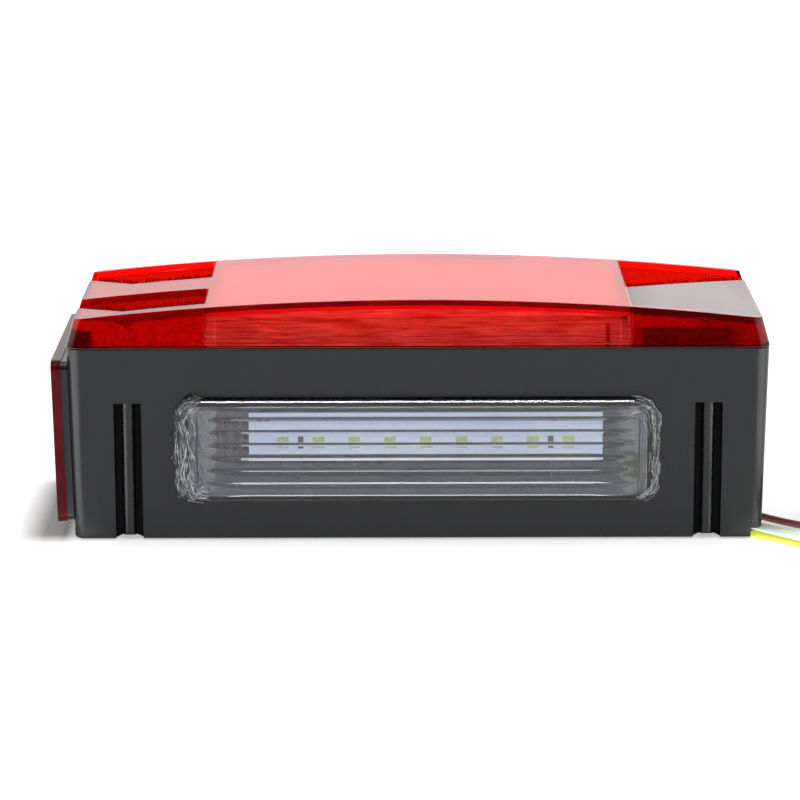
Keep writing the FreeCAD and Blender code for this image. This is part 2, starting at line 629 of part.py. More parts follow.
def route(colour):
    """The control points of one lead, from the grommet to the foot of its coil."""
    start = LEAD_ROWS[colour]
    points = [Vector(size("well_left+well_wall"), start, size("lead_exit_height"))]
    points += [Vector(x, y, z) for (x, z), y in zip(DROP, DROP_DRIFT[colour], strict=True)]
    return points + [Vector(x, y, size("lead/2")) for x, y in FLOOR_ROUTES[colour]] + [coil_foot(colour)]


def coil_foot(colour):
    x, y, angle, _ = COILS[colour]
    reach = size("coil_radius")
    turned = math.radians(angle)
    return Vector(x + reach * math.cos(turned), y + reach * math.sin(turned), size("lead/2"))


def rounded_path(points, name):
    """Straight runs joined by tangent arcs, each arc as large as its two runs allow."""
    edges = []
    last = points[0]
    radii = []
    for before, corner, after in zip(points, points[1:], points[2:], strict=False):
        coming, going = (corner - before), (after - corner)
        turn = coming.getAngle(going)
        reach = 0.45 * min(coming.Length, going.Length)
        radii.append(reach / math.tan(turn / 2))
        a = corner - coming.normalize() * reach
        b = corner + going.normalize() * reach
        centre_way = (b - corner) + (a - corner)
        sagitta = radii[-1] / math.cos(turn / 2) - radii[-1]
        edges += [Part.LineSegment(last, a), Part.Arc(a, corner + centre_way.normalize() * sagitta, b)]
        last = b
    edges.append(Part.LineSegment(last, points[-1]))
    print(f"{name}: {len(points)} points, arc radii {min(radii):.1f} to {max(radii):.1f} mm")
    return Part.Wire([e.toShape() for e in edges])


def tube(path, diameter, name):
    """A round tube along a path, its volume compared with section times length."""
    start = path.Edges[0]
    first = start.FirstParameter
    section = Part.Circle(start.valueAt(first), start.tangentAt(first), diameter / 2)
    made = path.makePipeShell([Part.Wire(section.toShape())], True, False)
    share = made.Volume / (math.pi * diameter ** 2 / 4 * path.Length)
    print(f"{name}: length {path.Length:.1f} mm, volume over section times length {share:.4f}")
    return made


def plain(name, shape):
    """A piece whose shape is worked out with Part's own functions."""
    made = DOC.addObject("Part::Feature", name + "_shape")
    made.Shape = shape
    return piece(made, name)


def passage(ring, point, ahead, low, high):
    """Cut a straight way into a coil's solid, where the lead or its strands lie along the turns."""
    way = Part.makeBox(14, 3, high - low, Vector(0, -1.5, low))
    way.Placement = Placement(Vector(point.x, point.y, 0), Rotation(Vector(1, 0, 0), ahead))
    return ring.cut(way)


def make_lead(colour):
    """A lead's tube, the outer shape of its coil, and the tinned strands at its bare end."""
    width, reach, turns = size("lead"), size("coil_radius"), size("coil_turns")
    lead = tube(rounded_path(route(colour), f"lead_{colour}"), width, f"lead_{colour}")
    x, y, angle, way = COILS[colour]
    height = width * (turns + 1)
    ring = Part.makeCylinder(reach + width / 2, height, Vector(x, y, 0))
    ring = ring.cut(Part.makeCylinder(reach - width / 2, height, Vector(x, y, 0)))
    end = math.radians(angle) + way * 2 * math.pi * turns
    tip = Vector(x + reach * math.cos(end), y + reach * math.sin(end), width / 2 + width * turns)
    ahead = Vector(-way * math.sin(end), way * math.cos(end), 0)
    strands = Part.makeCylinder(size("strand") / 2, size("strand_length"), tip, ahead)
    foot = coil_foot(colour)
    behind = Vector(way * math.sin(math.radians(angle)), -way * math.cos(math.radians(angle)), 0)
    ring = passage(ring, foot, behind, -1, width + 0.2)
    ring = passage(ring, tip, ahead, tip.z - 0.8, height + 1)
    plain(f"lead_{colour}", lead)
    plain(f"coil_{colour}", ring)
    plain(f"strands_{colour}", strands)


def make_lead_entry():
    """Grommet and potting where the leads leave the sealed chamber."""
    exit_height = "lead_exit_height"
    owner = body("lead_grommet")
    neck = sketch(owner, "YZ_Plane", "grommet_neck", "well_left")
    rectangle(neck, *GROMMET_NECK, "2")
    grow(owner, "Pad", neck, "well_wall")
    flange = sketch(owner, "YZ_Plane", "grommet_flange", "well_left-1.5")
    rectangle(flange, "-11", "6", f"{exit_height}-3.3", f"{exit_height}+4.5", "2")
    grow(owner, "Pad", flange, "1.5")
    potting = box("potting", "well_left-9", "well_left-1.5", "-13", "8",
                  "back_depth+partition", "well_height-3")
    piece(potting, "wire_potting")


def make_jumpers():
    """Pairs of thin wires from the main board down to the licence board and to the marker board."""
    wire = "0.7"
    licence = [rod(f"licence_jumper_{n}", f"plate_board_left+3+{n}*2.4", "-plate_board_face+1.8",
                   "plate_board_top-3", wire, "tower_top-plate_board_top+3") for n in range(2)]
    piece(together("Compound", "licence_jumpers", licence), "license_jumper_wires")
    marker = [rod(f"marker_jumper_{n}", "-board_width/2+2", f"-4+{n}*3", "30", wire, "tower_top-30")
              for n in range(2)]
    piece(together("Compound", "marker_jumpers", marker), "marker_jumper_wires")
    feeds = [rod(f"feed_jumper_{n}", "well_left-5", f"-8+{n}*4", "well_height-3",
                 wire, "tower_top-well_height+3") for n in range(3)]
    piece(together("Compound", "feed_jumpers", feeds), "feed_jumper_wires")


# Outlines of the top pockets: two tapered ones run out through the left end, one through the right end
TOP_POCKETS = [
    [(-104, 24), (-97.2, 20), (-85.9, 9.4), (-61.8, 10), (-61.8, 36.2), (-104, 35.6)],
    [(-104, -19), (-97.6, -22.5), (-85.8, -32.6), (-61.8, -31), (-61.8, -7.6), (-104, -7.6)],
    [(104, 23.5), (61.9, -7.8), (61.9, 35.6), (104, 35.6)],
]

housing = make_housing()
make_inserts()
make_screws()
make_lens()
make_gasket()
make_led_board()
make_board_parts()
make_reflector()
make_reflex_panels()
make_licence_lens(housing)
make_licence_board()
make_side_marker()
make_lead_entry()
make_jumpers()
for colour in LEAD_ROWS:
    make_lead(colour)

DOC.recompute()
for thing in DOC.Objects:
    if {"Invalid", "Error"} & set(thing.State):
        raise ValueError(f"{thing.Name} failed: {thing.State}")
for thing in PIECES:
    if thing.Shape.isNull() or not thing.Shape.isValid():
        raise ValueError(f"{thing.Label} has no valid shape")

os.makedirs("parts", exist_ok=True)
for thing in PIECES:
    solids = len(thing.Shape.Solids)
    print(f"{thing.Label}: {solids} solid(s), {thing.Shape.Volume / 1000:.2f} cm3")
    thing.Shape.exportStep(f"parts/{thing.Label}.step")
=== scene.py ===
import json
import math
import random

import bmesh
import bpy
from mathutils import Matrix, Vector, noise


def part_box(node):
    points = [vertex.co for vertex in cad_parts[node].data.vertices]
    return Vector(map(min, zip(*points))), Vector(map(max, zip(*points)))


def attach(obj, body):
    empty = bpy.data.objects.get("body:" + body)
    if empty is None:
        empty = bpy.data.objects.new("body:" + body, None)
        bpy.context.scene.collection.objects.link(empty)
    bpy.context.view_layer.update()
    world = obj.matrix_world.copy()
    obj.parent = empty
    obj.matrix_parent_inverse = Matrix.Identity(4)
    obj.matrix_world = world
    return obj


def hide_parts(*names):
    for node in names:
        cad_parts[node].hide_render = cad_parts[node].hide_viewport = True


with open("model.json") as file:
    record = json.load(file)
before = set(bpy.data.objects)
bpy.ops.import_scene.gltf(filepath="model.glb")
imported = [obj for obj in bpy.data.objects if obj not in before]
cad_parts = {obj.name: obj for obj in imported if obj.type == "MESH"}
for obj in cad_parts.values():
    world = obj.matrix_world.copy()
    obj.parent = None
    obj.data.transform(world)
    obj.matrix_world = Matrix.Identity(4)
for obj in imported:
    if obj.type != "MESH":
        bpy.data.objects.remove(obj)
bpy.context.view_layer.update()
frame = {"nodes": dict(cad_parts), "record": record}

MM = 0.001
NODES = frame["nodes"]
SCENE = bpy.context.scene

# The lamp's own sizes, in millimetres, as in the part's source
TOWER_X, TOWER_Y = 84.4, 31     # screw towers, with a groove outside each
LAMP_PITCH = 21.5
LENS_BASE = 57.4
INNER_WALL = 36.5               # the lens's long walls lie outside this
POCKET_DEPTH = 2.0


# ---- camera ----

def make_camera():
    """A long lens, square to the lamp's front and a little above it."""
    data = bpy.data.cameras.new("camera")
    data.sensor_width = 36
    data.lens = 162.05
    data.clip_end = 100
    camera = bpy.data.objects.new("camera", data)
    SCENE.collection.objects.link(camera)
    pitch, roll = math.radians(12.79), math.radians(0.143)
    aim = Matrix.Rotation(math.pi / 2 - pitch, 4, "X") @ Matrix.Rotation(-roll, 4, "Z")
    camera.matrix_world = Matrix.Translation((-0.00524, -1.05736, 0.27287)) @ aim
    SCENE.camera = camera


# ---- materials ----

def new_material(name):
    material = bpy.data.materials.new(name)
    material.use_nodes = True
    return material, material.node_tree, material.node_tree.nodes["Principled BSDF"]


def add(tree, kind, **sockets):
    """A node with some of its input sockets set; a socket given as a tuple of node and name is linked."""
    node = tree.nodes.new(kind)
    for name, value in sockets.items():
        socket = node.inputs[name.replace("_", " ")]
        if isinstance(value, tuple) and isinstance(value[0], bpy.types.Node):
            tree.links.new(value[0].outputs[value[1]], socket)
        else:
            socket.default_value = value
    return node


def grain(tree, scale, stretch=(1, 1, 1), detail=3.0):
    """A noise texture in the object's own metres, its scale in cells per metre."""
    place = add(tree, "ShaderNodeTexCoord")
    move = add(tree, "ShaderNodeMapping", Vector=(place, "Object"), Scale=stretch)
    return add(tree, "ShaderNodeTexNoise", Vector=(move, "Vector"), Scale=scale, Detail=detail)


def blend(tree, factor, low, high, at=(0.35, 0.65)):
    """A colour that runs from low to high as a noise does."""
    ramp = tree.nodes.new("ShaderNodeValToRGB")
    tree.links.new(factor.outputs[0], ramp.inputs["Fac"])
    for stop, colour, where in zip(ramp.color_ramp.elements, (low, high), at, strict=True):
        stop.color = (*colour, 1)
        stop.position = where
    return ramp


def surface(name, low, high, rough, scale, stretch=(1, 1, 1), bump=0.0, bump_scale=4000, **fixed):
    """A Principled surface whose colour and roughness both wander between two values."""
    material, tree, shader = new_material(name)
    wander = grain(tree, scale, stretch)
    colour = blend(tree, wander, low, high)
    tree.links.new(colour.outputs["Color"], shader.inputs["Base Color"])
    spread = add(tree, "ShaderNodeMapRange", Value=(wander, 0), To_Min=rough[0], To_Max=rough[1])
    tree.links.new(spread.outputs[0], shader.inputs["Roughness"])
    if bump:
        fine = grain(tree, bump_scale, stretch)
        relief = add(tree, "ShaderNodeBump", Height=(fine, 0), Distance=bump, Strength=1.0)
        tree.links.new(relief.outputs["Normal"], shader.inputs["Normal"])
    for socket, value in fixed.items():
        shader.inputs[socket.replace("_", " ")].default_value = value
    return material


def falls_between(tree, axis, start, stop):
    """1 before a place along an axis and 0 after it, in millimetres of the object's own space."""
    return add(tree, "ShaderNodeMapRange", Value=axis, From_Min=start * MM, From_Max=stop * MM,
               To_Min=1.0, To_Max=0.0)


def math_node(tree, operation, *values):
    """A sum on other nodes' outputs and plain numbers."""
    made = tree.nodes.new("ShaderNodeMath")
    made.operation = operation
    for socket, value in zip(made.inputs, values, strict=False):
        if isinstance(value, bpy.types.NodeSocket):
            tree.links.new(value, socket)
        else:
            socket.default_value = value
    return made


def times(tree, first, second):
    return math_node(tree, "MULTIPLY", first.outputs[0], second.outputs[0])


def shade_colours(tree, shader, share, colour):
    """Mix a surface's own colours with another one where share is high."""
    plain = shader.inputs["Base Color"].links[0].from_socket
    mixed = tree.nodes.new("ShaderNodeMixRGB")
    tree.links.new(share.outputs[0], mixed.inputs["Fac"])
    tree.links.new(plain, mixed.inputs["Color1"])
    mixed.inputs["Color2"].default_value = colour
    tree.links.new(mixed.outputs["Color"], shader.inputs["Base Color"])


def end_wall_material():
    """Inner faces of the lens's ends: prismatic red, with painted glints, a faint painted glow, and painted
    shade low at both corners and towards the right end.
    """
    # the faint emission is a painted glow
    material = surface("lens_inner_ends", (0.62, 0.002, 0.001), (0.82, 0.008, 0.006), (0.2, 0.4), 500,
                       bump=0.0006, bump_scale=500, Transmission_Weight=0.25, IOR=1.5,
                       Emission_Color=(1, 0.004, 0.003, 1), Emission_Strength=0.03)
    tree = material.node_tree
    shader = tree.nodes["Principled BSDF"]
    # painted glints: pink specks in the base colour
    painted_glints = blend(tree, grain(tree, 1300), (0, 0, 0), (1, 1, 1), (0.64, 0.69))
    shade_colours(tree, shader, painted_glints, (1, 0.5, 0.5, 1))
    # painted shade: a dark patch low at the right end, a dimming towards the right end and a dark patch low at
    # the left corner
    place = add(tree, "ShaderNodeTexCoord")
    axes = add(tree, "ShaderNodeSeparateXYZ", Vector=(place, "Object"))
    right = times(tree, falls_between(tree, (axes, "X"), 66, 61), falls_between(tree, (axes, "X"), 90, 95))
    right = times(tree, right, falls_between(tree, (axes, "Z"), 61.6, 62.8))
    right = times(tree, right, falls_between(tree, (axes, "Y"), -34.4, -34.2))
    shade_colours(tree, shader, right, (0.03, 0.002, 0.002, 1))
    painted_shade_right_end = add(tree, "ShaderNodeMapRange", Value=(axes, "X"), From_Min=0.06, From_Max=0.1,
                 To_Min=0.0, To_Max=0.7)
    shade_colours(tree, shader, painted_shade_right_end, (0.16, 0.003, 0.003, 1))
    low = falls_between(tree, (axes, "Z"), 61, 62)
    left = times(tree, falls_between(tree, (axes, "X"), -95.4, -93.6), low)
    shade_colours(tree, shader, left, (0.03, 0.002, 0.002, 1))
    return material


GLASS = {"Transmission_Weight": 1.0, "IOR": 1.5}
LOOKS = {
    "housing_black": surface("housing_plastic", (0.002, 0.0028, 0.0048), (0.0035, 0.0044, 0.0066),
                             (0.24, 0.32), 60, bump=0.00002, bump_scale=2500, Specular_IOR_Level=0.42),
    "lens_red": surface("lens_polished", (0.93, 0.0035, 0.002), (0.96, 0.0045, 0.003), (0.0, 0.03), 80,
                        **GLASS),
    "lens_clear": surface("clear_lens", (0.96, 0.97, 0.99), (0.98, 0.99, 1.0), (0.0, 0.04), 120,
                          Specular_IOR_Level=0.3, **GLASS),
    "sealant_clear": surface("sealant", (0.93, 0.94, 0.96), (1.0, 1.0, 1.0), (0.03, 0.2), 900,
                             bump=0.0004, bump_scale=1300, **GLASS),
    "marker_red": surface("marker_lens", (0.1, 0.003, 0.005), (0.16, 0.004, 0.006), (0.05, 0.15), 200,
                          Transmission_Weight=0.5, IOR=1.2),
    "reflex_red": surface("reflex_prisms", (0.5, 0.003, 0.002), (0.85, 0.006, 0.004), (0.3, 0.5), 900,
                          Specular_IOR_Level=0.2),
    # painted glow: the tray's emission stands in for light reaching it
    "reflector_bright": surface("reflector_white", (0.8, 0.8, 0.8), (0.92, 0.92, 0.92), (0.25, 0.4), 60,
                                stretch=(1, 1, 9), Emission_Color=(1, 1, 1, 1), Emission_Strength=0.42),
    # painted glow: the board's emission stands in for light falling on it
    "board_white": surface("board_mask", (0.78, 0.83, 0.92), (0.86, 0.9, 0.97), (0.3, 0.45), 250,
                           Emission_Color=(0.86, 0.92, 1, 1), Emission_Strength=0.3),
    "lamp_phosphor": surface("phosphor", (0.62, 0.7, 0.16), (0.8, 0.86, 0.3), (0.3, 0.5), 900,
                             Emission_Color=(0.8, 0.9, 0.3, 1), Emission_Strength=0.15),
    "lamp_red": surface("lamp_window", (0.5, 0.05, 0.03), (0.7, 0.12, 0.06), (0.3, 0.5), 900),
    "component_black": surface("component_body", (0.02, 0.02, 0.022), (0.04, 0.04, 0.045), (0.4, 0.6), 1500),
    "gasket_black": surface("gasket_rubber", (0.05, 0.004, 0.006), (0.09, 0.006, 0.009), (0.5, 0.7), 900),
    "screw_steel": surface("zinc_plate", (0.5, 0.5, 0.52), (0.66, 0.66, 0.66), (0.25, 0.4), 900,
                           Metallic=1.0),
    "insert_brass": surface("turned_brass", (0.6, 0.43, 0.18), (0.76, 0.56, 0.26), (0.22, 0.38), 700,
                            stretch=(1, 1, 8), Metallic=1.0),
    "potting_black": surface("potting_resin", (0.008, 0.008, 0.009), (0.014, 0.014, 0.015), (0.1, 0.25), 300,
                             bump=0.0002, bump_scale=400),
    "wire_red": surface("wire_red", (0.12, 0.008, 0.014), (0.2, 0.012, 0.02), (0.3, 0.45), 300),
    "wire_brown": surface("wire_brown", (0.2, 0.046, 0.038), (0.28, 0.065, 0.052), (0.3, 0.42), 200),
    "wire_white": surface("wire_white", (0.62, 0.74, 0.72), (0.76, 0.88, 0.86), (0.3, 0.42), 200),
    "wire_yellow": surface("wire_yellow", (0.84, 0.86, 0.05), (0.97, 0.98, 0.12), (0.3, 0.42), 200),
    "strand_tinned": surface("tinned_copper", (0.6, 0.5, 0.4), (0.75, 0.7, 0.66), (0.2, 0.35), 2000,
                             Metallic=1.0),
}
# painted shade: a darker, less glossy copy of the housing plastic for the grooves' sunk faces
GROOVE_SHADE = surface("housing_grooves", (0.001, 0.0014, 0.0018), (0.002, 0.0024, 0.003), (0.3, 0.4), 60,
                  Specular_IOR_Level=0.06)
REFLECTOR_PIN = surface("reflector_pin", (0.2, 0.2, 0.2), (0.3, 0.3, 0.3), (0.4, 0.5), 300)
LENS_MIDDLE = surface("lens_inner_front", (0.55, 0.02, 0.015), (1.0, 0.45, 0.36), (0.06, 0.16), 400,
                      stretch=(0.22, 1, 4), bump=0.0004, bump_scale=160, Transmission_Weight=0.45, IOR=1.5)
# the lens's ceiling: a painted glow over the middle, a dimmer copy over the left end and a dark copy over the
# right end, which are painted shade
CEILING_GLOW = surface("lens_ceiling", (0.92, 0.012, 0.01), (1.0, 0.018, 0.014), (0.25, 0.35), 30,
                       Transmission_Weight=0.55, IOR=1.5, Emission_Color=(1, 0.004, 0.004, 1),
                       Emission_Strength=0.1)
CEILING_LEFT_SHADE = surface("lens_ceiling_left", (0.75, 0.004, 0.003), (0.85, 0.006, 0.005), (0.25, 0.35), 40,
                            Transmission_Weight=0.4, IOR=1.5, Emission_Color=(1, 0.004, 0.004, 1),
                            Emission_Strength=0.1)
CEILING_RIGHT_SHADE = surface("lens_ceiling_right", (0.06, 0.008, 0.01), (0.1, 0.01, 0.012), (0.25, 0.35), 40,
                             Transmission_Weight=0.1, IOR=1.5)
LENS_ENDS = end_wall_material()
# painted shade: a darker copy of the lens red for its lip
LIP_SHADE = surface("lens_lip", (0.07, 0.001, 0.001), (0.16, 0.002, 0.001), (0.05, 0.12), 90,
                   Transmission_Weight=0.5, IOR=1.5)
LENS_FLOOR = surface("pocket_floor", (0.68, 0.004, 0.001), (0.85, 0.006, 0.002), (0.7, 0.8), 500,
                     Specular_IOR_Level=0.0)
# painted shade: a darker copy of the pocket floor for the left front pocket
POCKET_FLOOR_SHADE = surface("pocket_floor_near", (0.42, 0.002, 0.001), (0.54, 0.004, 0.002), (0.7, 0.8), 500,
                          Specular_IOR_Level=0.0)
# the prisms are real; their dark colour is painted shade along the pockets' near edges
PRISMS_PAINTED_SHADE = surface("pocket_prisms", (0.12, 0.001, 0.001), (0.4, 0.006, 0.005), (0.5, 0.7), 1100,
                      Specular_IOR_Level=0.0)
LENS_MARKS = surface("lens_fans", (0.95, 0.07, 0.05), (0.98, 0.12, 0.09), (0.2, 0.3), 900)
# painted glow on the lens's foot, which stands in for light seen through the wall
FOOT_GLOW = surface("lens_foot", (0.9, 0.004, 0.004), (1.0, 0.006, 0.006), (0.3, 0.4), 60,
                    Emission_Color=(1, 0.004, 0.004, 1), Emission_Strength=0.6)
LENS_WINDOW = surface("lens_front_window", (0.95, 0.02, 0.014), (0.98, 0.04, 0.03), (0.0, 0.03), 80, **GLASS)
# painted highlight: glowing pinkish-white lines along the creases
CREASE_HIGHLIGHT = surface("lens_crease", (0.8, 0.42, 0.44), (0.9, 0.6, 0.62), (0.1, 0.2), 60,
                      Emission_Color=(1, 0.8, 0.8, 1), Emission_Strength=0.15)
# painted shade: thin dark lines along the pockets' lower edges
POCKET_EDGE_SHADE = surface("pocket_outline", (0.16, 0.001, 0.001), (0.3, 0.002, 0.002), (0.4, 0.5), 200,
                       Specular_IOR_Level=0.1)
LENS_FACES = {
    "polished": LOOKS["lens_red"],
    "front": LENS_MIDDLE,
    "ceiling": CEILING_GLOW,
    "ceiling_left_shade": CEILING_LEFT_SHADE,
    "ceiling_right_shade": CEILING_RIGHT_SHADE,
    "ends": LENS_ENDS,
    "lip": LIP_SHADE,
    "floor": LENS_FLOOR,
    "floor_shaded": POCKET_FLOOR_SHADE,
    "foot": FOOT_GLOW,
    "window": LENS_WINDOW,
}
CLEAR_INNER = surface("clear_lens_flutes", (0.62, 0.72, 0.98), (0.76, 0.84, 1.0), (0.02, 0.06), 160,
                      stretch=(0.3, 1, 1), Transmission_Weight=0.9, IOR=1.5)
FLUTE_SHADE = surface("flute_shade", (0.02, 0.025, 0.035), (0.07, 0.08, 0.1), (0.2, 0.3), 160,
                      stretch=(0.3, 1, 1), Transmission_Weight=0.15, IOR=1.5)
FLUTE_GLINT = surface("flute_glint", (0.8, 0.84, 0.92), (1.0, 1.0, 1.0), (0.1, 0.2), 160,
                      stretch=(0.3, 1, 1), Transmission_Weight=0.4, IOR=1.5,
                      Emission_Color=(0.9, 0.95, 1, 1), Emission_Strength=0.2)
PLATE_LOOKS = [LOOKS["lens_clear"], CLEAR_INNER, FLUTE_SHADE, FLUTE_GLINT]
STRANDS = surface("sealant_strands", (0.6, 0.62, 0.66), (0.95, 0.96, 1.0), (0.05, 0.15), 600,
                  Transmission_Weight=0.3, IOR=1.45)


def paint(thing, *materials):
    if thing.data.materials:
        thing.data.materials.clear()
    for material in materials:
        thing.data.materials.append(material)


# ---- shaping helpers ----

def place_mesh(name, mesh, replaced, smooth_to=35):
    """A finished piece of the lamp: rides on the root body and stands for a CAD node."""
    made = bpy.data.objects.new(name, mesh)
    SCENE.collection.objects.link(made)
    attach(made, "root")
    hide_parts(replaced)
    if smooth_to:
        mesh.shade_smooth()
        mesh.set_sharp_from_angle(angle=math.radians(smooth_to))
    return made


def node_shape(node):
    """A node's own mesh, welded and with its flat areas joined up."""
    shape = bmesh.new()
    shape.from_mesh(NODES[node].data)
    bmesh.ops.remove_doubles(shape, verts=shape.verts, dist=1e-6)
    bmesh.ops.dissolve_limit(shape, angle_limit=math.radians(0.5), verts=shape.verts, edges=shape.edges)
    return shape


def to_mesh(shape, name):
    bmesh.ops.recalc_face_normals(shape, faces=shape.faces)
    mesh = bpy.data.meshes.new(name)
    shape.to_mesh(mesh)
    shape.free()
    return mesh


def bevel(thing, width, angle):
    """Ease a piece's edges and keep the flat areas' reflections flat."""
    made = thing.modifiers.new("edges", "BEVEL")
    made.width = width
    made.segments = 2
    made.limit_method = "ANGLE"
    made.angle_limit = math.radians(angle)
    even = thing.modifiers.new("even_shading", "WEIGHTED_NORMAL")
    even.keep_sharp = True
    even.weight = 100


def block(shape, low, high, material=0):
    """A box between two corners in millimetres, added to a shape."""
    low, high = Vector(low) * MM, Vector(high) * MM
    place = Matrix.Translation((high + low) / 2) @ Matrix.Diagonal((*(high - low), 1))
    made = bmesh.ops.create_cube(shape, size=1.0, matrix=place)
    for face in {f for v in made["verts"] for f in v.link_faces}:
        face.material_index = material


# ---- leads ----

LEAD = 2.2 * MM
COIL_RADIUS = 12 * MM
COIL_TURNS = 2.6
POINTS_A_TURN = 16
DROP = [(55.5, 14.7), (63.5, 12), (71.5, 6.8), (80, 2.4)]
EXIT = (48, 15)
LEAD_ROWS = {"yellow": -6.5, "white": -2.5, "brown": 1.5}
DROP_DRIFT = {
    "brown": (1.5, 1.3, 0.4, -1.4),
    "white": (-2.6, -3.3, -5.2, -8.6),
    "yellow": (-6.7, -7.8, -10.2, -14.2),
}
FLOOR_ROUTES = {
    "brown": [(89, -5.2), (96.5, -11.5), (102.7, -18.4), (108.9, -25.2), (115.6, -30.4), (122.6, -32.3)],
    "white": [(88.5, -14), (94.8, -22.5), (101.5, -30), (108.8, -35.4), (116, -38.3), (122.6, -38.6)],
    "yellow": [(87.3, -20), (92.4, -29.6), (98.8, -38.4), (106.2, -46.6), (114.2, -53.8), (121.6, -61.4)],
}
# centre of each coil in plan, the angle at which the lead joins it, and which way it winds
COILS = {
    "brown": (128.5, -20, -90, 1),
    "white": (128.5, -50, 90, -1),
    "yellow": (128.5, -77.5, 90, -1),
}


def lead_points(colour):
    """Control points of one lead: out of the grommet, down, out under the wall and round its coil."""
    points = [Vector((EXIT[0], LEAD_ROWS[colour], EXIT[1])) * MM]
    points += [Vector((x, y, z)) * MM for (x, z), y in zip(DROP, DROP_DRIFT[colour], strict=True)]
    points += [Vector((x * MM, y * MM, LEAD / 2)) for x, y in FLOOR_ROUTES[colour]]
    cx, cy, angle, way = COILS[colour]
    steps = round(POINTS_A_TURN * COIL_TURNS)
    reach = COIL_RADIUS * 1.01      # the curve runs a little inside its control points
    for n in range(steps + 1):
        share = n / steps * COIL_TURNS
        turned = math.radians(angle) + way * 2 * math.pi * share
        points.append(Vector((cx * MM + reach * math.cos(turned), cy * MM + reach * math.sin(turned),
                              LEAD * (0.5 + share))))
    return points


def curve_through(name, points, diameter):
    """An open tube through the points. Its own numbers are millimetres and its scale makes them metres,
    because Blender adds each point's radius of 1 to a curve's bounds."""
    data = bpy.data.curves.new(name, "CURVE")
    data.dimensions = "3D"
    spline = data.splines.new("NURBS")
    spline.points.add(len(points) - 1)
    for point, place in zip(spline.points, points, strict=True):
        point.co = (*(Vector(place) / MM), 1)
    spline.order_u = 3
    spline.use_endpoint_u = True
    spline.resolution_u = 8
    data.bevel_depth = diameter / MM / 2
    data.bevel_resolution = 6
    data.use_fill_caps = True
    made = bpy.data.objects.new(name, data)
    made.scale = (MM, MM, MM)
    SCENE.collection.objects.link(made)
    return made


def make_lead(colour):
    points = lead_points(colour)
    lead = curve_through(f"{colour}_lead", points, LEAD)
    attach(lead, "root")
    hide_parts(f"lead_{colour}", f"coil_{colour}")
    paint(lead, LOOKS[f"wire_{colour}"])


# ---- housing ----

def make_housing():
    """The black moulding, with eased edges and painted shade on the sunk faces of its grooves."""
    shape = node_shape("housing")
    shape.normal_update()
    for face in shape.faces:
        x, y, z = face.calc_center_median() / MM
        from_groove = abs(abs(x) - TOWER_X)
        sunk = from_groove < 4.2 and z < 41 and 35.5 < abs(y) < 38.6
        across = from_groove > 3.8 and abs(face.normal.x) > 0.9
        # the sunk groove faces take the darker copy, as painted shade
        if sunk and (across or (abs(y) < 36.2 and abs(face.normal.y) > 0.9)):
            face.material_index = 1
    housing = place_mesh("black_housing", to_mesh(shape, "black_housing"), "housing")
    paint(housing, LOOKS["housing_black"], GROOVE_SHADE)
    bevel(housing, 0.25 * MM, 40)


# ---- main lens ----

def crown_height(x):
    """Height of the lens's crowned top at a distance from its middle."""
    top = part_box("main_lens")[1].z
    half, rise = 99.75 * MM, 5.4 * MM
    radius = (half * half + rise * rise) / (2 * rise)
    return top - radius + math.sqrt(radius * radius - x * x)


ENDS_FROM = 61.8        # the lens's middle and its two ends meet here
SIDES_FROM = 31.0       # outside this, its ceiling over the ends shows the end walls' prisms
UNDER_CEILING = 64      # the middles of its inner upright faces lie below this


def in_pocket(x, y, below, normal):
    """Whether a face is a pocket's floor, or a pocket's wall that faces the lens's middle."""
    floor = normal.z > 0.9 and 1.4 < below < 2.8 and abs(x) > 61
    wall = abs(x) > 61.5 and abs(normal.z) < 0.3 and 0.5 < below < 1.6 and abs(y) < 35
    return floor or (wall and normal.x * x < 0.1 * abs(x))


def lens_part(middle, normal):
    """Which part of the lens a face belongs to, by where it is and which way it looks."""
    x, y, z = middle / MM
    below = (crown_height(middle.x) - middle.z) / MM
    at_ends = abs(x) > ENDS_FROM
    if in_pocket(x, y, below, normal):
        # the left front pocket's floor takes the painted shade
        return "floor_shaded" if x < 0 and y < 0 else "floor"
    # the ceiling's faces take the painted glow over the middle and painted shade over the ends
    if normal.z < -0.9 and z > 60:
        if abs(y) > SIDES_FROM and at_ends:
            return "ends"
        return "ceiling" if not at_ends else ("ceiling_left_shade" if x < 0 else "ceiling_right_shade")
    if normal.y * y < 0 and abs(normal.y) > 0.9 and abs(y) < INNER_WALL and z < UNDER_CEILING:
        return "ends" if at_ends else "front"
    if normal.x * x < 0 and abs(normal.x) > 0.9 and abs(x) > 61 and z < 66 and abs(y) < INNER_WALL:
        return "ends"
    if math.hypot(abs(x) - TOWER_X, abs(y) - TOWER_Y) < 3.6 and z < UNDER_CEILING:
        return "ends"
    if abs(normal.x) > 0.9 and abs(abs(x) - 62) < 0.2 and abs(y) > 36:
        return "ends"
    if normal.z < -0.9 and z < 58 and x < ENDS_FROM and y > SIDES_FROM:
        return "foot"
    if normal.y < -0.9 and y < -36 and not at_ends and below > 2:
        return "window"
    if not at_ends and abs(normal.y) > 0.9 and abs(y) > 36 and below < 1.7:
        return "lip"
    return "polished"


# Corners of the sunk red areas in the lens's top: two at its left end and one at its right
POCKETS = [
    [(-97.2, 20), (-85.9, 9.4), (-61.8, 10), (-61.8, 36.2), (-99, 35.6)],
    [(-97.6, -22.5), (-85.8, -32.6), (-61.8, -31), (-61.8, -7.6), (-99, -7.6)],
    [(99, 20), (61.9, -7.8), (61.9, 35.6), (99, 35.6)],
]


